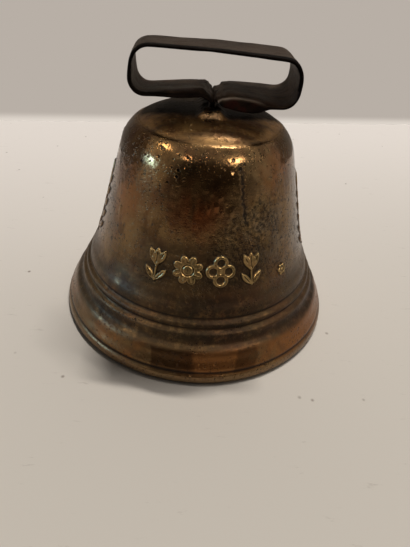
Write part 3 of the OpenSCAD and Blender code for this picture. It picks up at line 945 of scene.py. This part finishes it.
    # the mouldings are darker, most of all in front
    foot = belt(21, 12, 0.5) * (0.55 + patch(4, 50, 20, 34, 0.8) * 0.42)
    dirt = net.most(belt(13.8, 3.8, 0.7) * 0.85, row * 0.7, foot) * ease(mottle, 0.2, 0.54)
    flock = ease(net.noise(place, 85.0, 3.0), 0.42, 0.62)
    crowd = (flock + dull * 0.6 + flank * 0.5 + row * 0.4) * 0.06
    blot = ease(net.noise(place, 980.0, 4.0, 0.6) + crowd, 0.62, 0.69)
    dirt = net.most(dirt * 0.85, groove * 0.9, blot * 0.65, crack * 0.9)
    coat("dirt", dirt)
    coat("soot", inside * ease(mid, 0.3, 0.6) * 0.8)
    sooty = net.most(patch(-40, 48, 27, 13), patch(-44, 52, 14, 10) * 0.7)
    sooty = sooty * ease(mottle * 0.6 + mid * 0.4, 0.38, 0.56)
    coat("soot", sooty * 0.75)

    # fine pits, thickest on the shoulder, and wide ones in the scars
    shoulder = belt(67, 7, 0.6)
    thick = ease(net.noise(place, 130.0, 2.0) + (shoulder + flank) * 0.05, 0.55, 0.63)
    scars = net.most(*(patch(azimuth, 31, height, brassSet["scarReach"])
                       for azimuth, height in brassSet["scars"]))
    fineHoles = net.holes(place, 1050.0, 0.16, 0.36) * thick
    wideHoles = net.holes(place, 500.0, 0.24, 0.36) * ease(scars, 0.15, 0.5)
    coat("dirt", net.most(fineHoles, wideHoles) * 0.92)

    # the crown is dull, its boss partly rubbed bright and partly a painted highlight, and a painted
    # shade with a painted dark reflection of the band lies on the crown under the band
    # the boss's top, partly rubbed bare and partly a painted highlight
    rubbedAndHighlight = above(77.3, 78.3) * net.band(x, -0.3 * mm, 3.9 * mm, 0.6)
    rubbedAndHighlight = rubbedAndHighlight * ease(0 - y, 11.4 * mm, 12.4 * mm)
    crown = above(72.5, 75.5) * (1 - rubbedAndHighlight)
    streak = net.noise(net.scaled(place, (0.25, 1, 1)), 210.0, 4.0, 0.65)
    coat("gold", crown * ease(streak, 0.3, 0.6) * 0.85)
    coat("orange", crown * ease(mid * 0.5 + mottle * 0.5, 0.46, 0.58) * 0.6)
    coat("shade", crown * ease(mottle, 0.5, 0.62) * 0.45)
    right, left = net.most(x, 0.0), net.most(0 - x, 0.0)
    front = y + 13.8 * mm - right * right * 22.0 - left * left * 17.0
    # painted shade and a painted dark reflection of the band on the crown beneath it
    paintedShadeUnderBand = ease(front + drift * (6 * mm), -1.2 * mm, 2.4 * mm) * above(73.5, 75)
    paintedShadeUnderBand = paintedShadeUnderBand * ease(14.5 * mm - y, 0.0, 3 * mm) * (1 - rubbedAndHighlight)
    coat("dirt", paintedShadeUnderBand * 0.95)
    coat("bare", rubbedAndHighlight * ease(grit, 0.38, 0.55) * 0.6)

    # the front of the waist and the shoulder are smoother, so that the gloss on them stays whole
    rough = brassSet["rough"] + (grit - 0.5) * 0.22 + dirt * 0.3 + inside * 0.25 + crown * 0.16
    rough = rough + paintedShadeUnderBand * 0.2 + sooty * 0.1 - shoulder * 0.04 + (1 - above(26, 38)) * 0.1
    metal = brassSet["metal"] - dirt * 0.12 - inside * 0.3 - crown * (1 - paintedShadeUnderBand) * 0.2 - rim * 0.3
    even = patch(-6, 32, 61, 18) * 0.85
    pits = net.most(fineHoles * 0.45, wideHoles * 1.6, blot * 0.3, crack * 0.8) * (1 - even)
    height = brassHeight(net, place) * (1 - net.most(even, shoulder * 0.6)) - pits * 0.2
    height = height + rubbedAndHighlight * (net.noise(place, 300.0, 1.0) - 0.5) * 0.12
    height = height + (crown * 0.1 + dull * 0.05) * (mottle - 0.5) + dull * (grain - 0.5) * 0.05
    closeFinish(net, base, rough, metal, height)
    return material


# the ornaments: golden rims on top, partly rubbed and partly a painted highlight, and dark at the foot
def reliefBrass():
    material, net = newFinish("reliefBrass")
    place = objectPlace(net)
    high = net.named("high")
    mid = net.noise(place, 240.0, 4.0, 0.6)
    grit = net.noise(place, 900.0, 4.0, 0.65)
    base = net.tint(brassSet["golden"], brassSet["olive"], net.ease(mid, 0.42, 0.6))
    # bright rims, partly rubbed and partly a painted highlight on their rounded edges
    edge = net.ease(high, 0.45, 0.85) * (1 - net.ease(high, 0.93, 1.0) * 0.75)
    base = net.tint(base, brassSet["relief"], edge * net.ease(grit, 0.34, 0.5) * 0.8)
    flank = net.ease(net.size(net.parts(place)[0]), 30 * mm, 38 * mm)
    base = net.tint(base, brassSet["brown"], flank * 0.7)
    foot = 1 - net.ease(high + (grit - 0.5) * 0.5, 0.15, 0.6)
    base = net.tint(base, brassSet["dirt"], foot * 0.85)
    rough = 0.3 + (grit - 0.5) * 0.3 + foot * 0.25
    height = brassHeight(net, place) - foot * 0.02
    closeFinish(net, base, rough, 0.94 - foot * 0.15, height)
    return material


ironSet = {
    "rough": 0.48,
    "metal": 0.72,
    "gloss": 0.3,
    # a painted highlight along the lens's crest, partly worn iron
    "rubbedAndHighlight": colour(150, 136, 124),
    # painted dark red reflection of the brass, and shade, in the right half's lens
    "lens": colour(34, 14, 11),
    # painted shade and dark reflection on the band's edges, front margin and fold
    "scale": colour(9, 6, 5),
    "topShade": (86 * mm, 92 * mm),  # the upper side of the loop is darker
    "band": [colour(90, 72, 58), colour(45, 35, 27), colour(66, 43, 31)],  # light, dark, rust
    "inner": [colour(86, 74, 64), colour(44, 36, 30), colour(86, 50, 32)],
}


def forgedIron(name, tones):
    light, dark, rust = tones
    material, net = newFinish(name)
    place = objectPlace(net)
    slow = net.noise(place, 60.0, 3.0)
    mid = net.noise(place, 240.0, 4.0, 0.6)
    fine = net.noise(place, 1100.0, 4.0, 0.6)
    flakes = net.noise(net.scaled(place, (0.3, 1, 1)), 520.0, 4.0, 0.6)
    edge = net.named("edge")
    base = net.tint(dark, light, net.ease(slow * 0.6 + mid * 0.4, 0.38, 0.62))
    base = net.tint(base, rust, net.ease(net.noise(place, 110.0, 5.0, 0.65), 0.5, 0.68) * 0.7)
    base = net.tint(base, dark, net.ease(flakes, 0.5, 0.62) * 0.7)
    base = net.tint(base, dark, net.ease(net.parts(place)[2], *ironSet["topShade"]) * 0.6)
    # painted shade and dark reflection on the edges, the front margin and the fold
    base = net.tint(base, ironSet["scale"], edge * 0.95)
    # painted dark red reflection and shade in the right half's lens
    base = net.tint(base, ironSet["lens"], net.named("lens") * net.ease(mid, 0.44, 0.6) * 0.7)
    # painted highlight along the lens's crest, partly worn
    base = net.tint(base, ironSet["rubbedAndHighlight"], net.named("rubbedAndHighlight") * 0.7)
    rough = ironSet["rough"] + (mid - 0.5) * 0.3 + (fine - 0.5) * 0.2 + edge * 0.2
    metal = ironSet["metal"] + edge * 0.27
    height = (mid - 0.5) * 0.12 + (fine - 0.5) * 0.05 + (flakes - 0.5) * 0.1
    closeFinish(net, base, rough, metal, height, **{"Specular IOR Level": ironSet["gloss"]})
    return material


# floor, backdrop, lamps and camera

stageSet = {
    # the table grows lighter from the front to the far edge, a painted fall-off of the light from the
    # lamps behind
    "near": colour(211, 204, 194),  # the table's colour in front of the bell
    "far": colour(239, 232, 226),  # and at its far edge
    "farFrom": (-0.10, 0.24),
    "crumb": colour(120, 104, 92),
    "wallFoot": colour(222, 213, 203),
    "wallSeen": colour(184, 175, 166),
    "wallLit": colour(200, 193, 184),
    "wallTurn": 12.2,  # the wall stands askew by these degrees
    "wallAway": 0.230,
    "wallTall": 0.42,
    "reach": 3.0,
}


# a pale top without gloss, with a few crumbs and scuffs, lighter towards its far edge as a painted
# fall-off of the light from behind
def tableFinish():
    material, net = newFinish("tableTop")
    x, y, unused = net.parts(objectPlace(net))
    # painted fall-off of the light, lighter towards the far edge
    tone = net.tint(stageSet["near"], stageSet["far"], net.ease(y - x * 0.2, *stageSet["farFrom"]))
    flat = net.vector(x, y, 0.0)
    soiled = net.ease(net.noise(flat, 31.0, 2.0), 0.43, 0.55)
    crumb = net.holes(flat, 80.0, 0.02, 0.075) * soiled
    scuff = net.ease(net.noise(net.scaled(flat, (1, 5, 1)), 90.0, 4.0, 0.7), 0.62, 0.72) * soiled
    tone = net.tint(tone, stageSet["crumb"], net.most(crumb * 0.75, scuff * 0.22))
    net.add("ShaderNodeOutputMaterial", {}, {"Surface": plainSurface(net, tone, 0.9, 0.0)})
    return material


# the wall shows its own colour to the camera, and takes light as a plain surface for the rest
def wallFinish():
    material, net = newFinish("wall")
    height = net.parts(objectPlace(net))[2]
    tone = net.tint(stageSet["wallFoot"], stageSet["wallSeen"], net.ease(height, 0.0, 8 * mm))
    lit = plainSurface(net, stageSet["wallLit"], 0.8, 0.1)
    seen = net.add("ShaderNodeEmission", {}, {"Color": tone})
    camera = net.add("ShaderNodeLightPath", {}, {}, out="Is Camera Ray")
    net.add("ShaderNodeOutputMaterial", {}, {"Surface": net.add(
        "ShaderNodeMixShader", {}, {0: camera, 1: lit, 2: seen})})
    return material


def makeSheet(name, corners, material):
    data = bpy.data.meshes.new(name)
    data.from_pydata(corners, [], [(0, 1, 2, 3)])
    data.materials.append(material)
    return newObject(name, data)


def makeStage():
    reach = stageSet["reach"]
    corners = [(x * reach, y * reach, 0) for x, y in ((-1, -1), (1, -1), (1, 1), (-1, 1))]
    floor = makeSheet("floor", corners, tableFinish())
    turn = Matrix.Rotation(math.radians(stageSet["wallTurn"]), 3, "Z")
    left, right = (turn @ Vector((side * reach, stageSet["wallAway"], 0)) for side in (-1, 1))
    tall = Vector((0, 0, stageSet["wallTall"]))
    backdrop = makeSheet("backdrop", [left, right, right + tall, left + tall], wallFinish())
    backdrop.visible_shadow = False  # it stands between the rear lamp and the table
    backdrop.visible_diffuse = False


cameraSet = {
    "place": (-5.99 * mm, -145.21 * mm, 117.29 * mm),
    "pitch": 37.160,
    "yaw": 3.717,
    "roll": 5.615,
    "lens": 27.05,
    "film": 36,
    "clip": 0.005,
}


def makeCamera():
    pitch, yaw, roll = (math.radians(cameraSet[k]) for k in ("pitch", "yaw", "roll"))
    ahead = Vector((math.sin(yaw) * math.cos(pitch), math.cos(yaw) * math.cos(pitch), -math.sin(pitch)))
    right = ahead.cross(Vector((0, 0, 1))).normalized()
    up = right.cross(ahead)
    across = right * math.cos(roll) + up * math.sin(roll)
    above = up * math.cos(roll) - right * math.sin(roll)
    data = bpy.data.cameras.new("camera")
    data.lens = cameraSet["lens"]
    data.sensor_width = cameraSet["film"]
    data.sensor_fit = "AUTO"
    data.clip_start = cameraSet["clip"]
    camera = newObject("camera", data)
    turn = Matrix((across, above, -ahead)).transposed().to_4x4()
    camera.matrix_world = Matrix.Translation(cameraSet["place"]) @ turn
    bpy.context.scene.camera = camera


# direction from the bell, distance, size, power, colour, and whether a lamp only shows in the metal
# (True) or only lights the scene
ceilingTone = (1.0, 0.96, 0.91)
bulbTone = (1.0, 0.86, 0.66)
lampSet = {
    "ceiling": ((0.28, 0.352, 1.0), 6.0, (1.6, 0.14), 84.0, ceilingTone, False),
    "rearCeiling": ((0.088, 0.4, 0.914), 6.0, (0.8, 0.125), 176.0, ceilingTone, False),
    "ceilingShine": ((0.2257, 0.364, 1.0), 2.4, (0.47, 0.08), 20.0, ceilingTone, True),
    "window": ((-0.955, -0.219, 0.199), 0.9, (0.2, 0.18), 2.6, (0.24, 0.55, 1.0), True),
    "leftLamp": ((-0.651, -0.124, 0.749), 0.9, (0.14, 0.08), 0.95, bulbTone, True),
    "midLamp": ((-0.385, -0.592, 0.708), 0.9, (0.08, 0.05), 0.9, bulbTone, True),
    "rightLamp": ((0.496, -0.524, 0.692), 0.9, (0.24, 0.18), 3.2, (1.0, 0.88, 0.72), True),
}
lampAim = Vector((0, 0, 50 * mm))


def makeLamp(name, direction, away, size, power, tone, mirrored):
    data = bpy.data.lights.new(name, "AREA")
    data.shape = "RECTANGLE"
    data.size, data.size_y = size
    data.energy = power
    data.color = tone
    lamp = newObject(name, data)
    towards = Vector(direction).normalized()
    lamp.location = lampAim + towards * away
    lamp.rotation_euler = towards.to_track_quat("Z", "Y").to_euler()
    lamp.visible_diffuse = not mirrored
    lamp.visible_glossy = mirrored


worldSet = {
    "behindCamera": (0.075, 0.062, 0.05, 1),
    "round": (0.66, 0.64, 0.61, 1),
    "behindFrom": (0.35, 0.85),
    "patchy": 0.35,  # how unevenly the room shows in the metal
    "fillFront": (0.03, 0.03, 0.03, 1),
    "fillBack": (0.61, 0.6, 0.585, 1),
    "fillFrom": (-0.75, 0.1),
    "seen": colour(188, 182, 175),
}


# what lights the scene is plain, and metal also shows the room, which is dark behind the camera
def makeWorld():
    world = bpy.data.worlds.new("room")
    bpy.context.scene.world = world
    world.use_nodes = True
    world.node_tree.nodes.clear()
    net = NodeNet(world.node_tree)
    x, y, z = net.parts(net.add("ShaderNodeTexCoord", {}, {}, out="Generated"))
    behind = net.ease(0 - y, *worldSet["behindFrom"])
    room = net.tint(worldSet["round"], worldSet["behindCamera"], behind)
    panes = net.ease(net.noise(net.vector(x, y, z * 0.3), 3.2, 2.0), 0.38, 0.6)
    room = net.tint(room, worldSet["behindCamera"], (1 - panes) * worldSet["patchy"])
    frontLeft = net.ease(0 - y * 0.87 - x * 0.5, *worldSet["fillFrom"])
    fill = net.tint(worldSet["fillBack"], worldSet["fillFront"], frontLeft)
    glossy, through, camera = (net.add("ShaderNodeLightPath", {}, {}, out=out) for out in
                               ("Is Glossy Ray", "Is Transmission Ray", "Is Camera Ray"))
    tone = net.tint(net.tint(fill, room, net.most(glossy, through)), worldSet["seen"], camera)
    background = net.add("ShaderNodeBackground", {}, {"Color": tone})
    net.add("ShaderNodeOutputWorld", {}, {"Surface": background})


bpy.context.scene.view_settings.view_transform = "Standard"
makeCamera()
makeStage()
makeWorld()
for lampName, lampValues in lampSet.items():
    makeLamp(lampName, *lampValues)
print("camera, stage and lamps are set")

casting, skinLine = makeCasting(castBrass())
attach(casting, "bell")
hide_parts("bell_casting")
print("casting:", len(casting.data.polygons), "faces")

for relief in makeReliefs(reliefBrass(), skinLine):
    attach(relief, "bell")
    print("ornament", relief.name, len(relief.data.polygons), "faces")

strap = makeStrap(forgedIron("bandIron", ironSet["band"]))
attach(strap, "bell")
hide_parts("collar_strap")
print("iron band:", len(strap.data.polygons), "faces")

for nodeName, slotName in (("hanger_pin", "iron_rivet"), ("clapper", "iron_clapper")):
    forged = makeForged(nodeName, forgedIron(slotName, ironSet["inner"]))
    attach(forged, forgedSet[nodeName]["body"])
    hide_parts(nodeName)
    print(forged.name, len(forged.data.polygons), "faces")
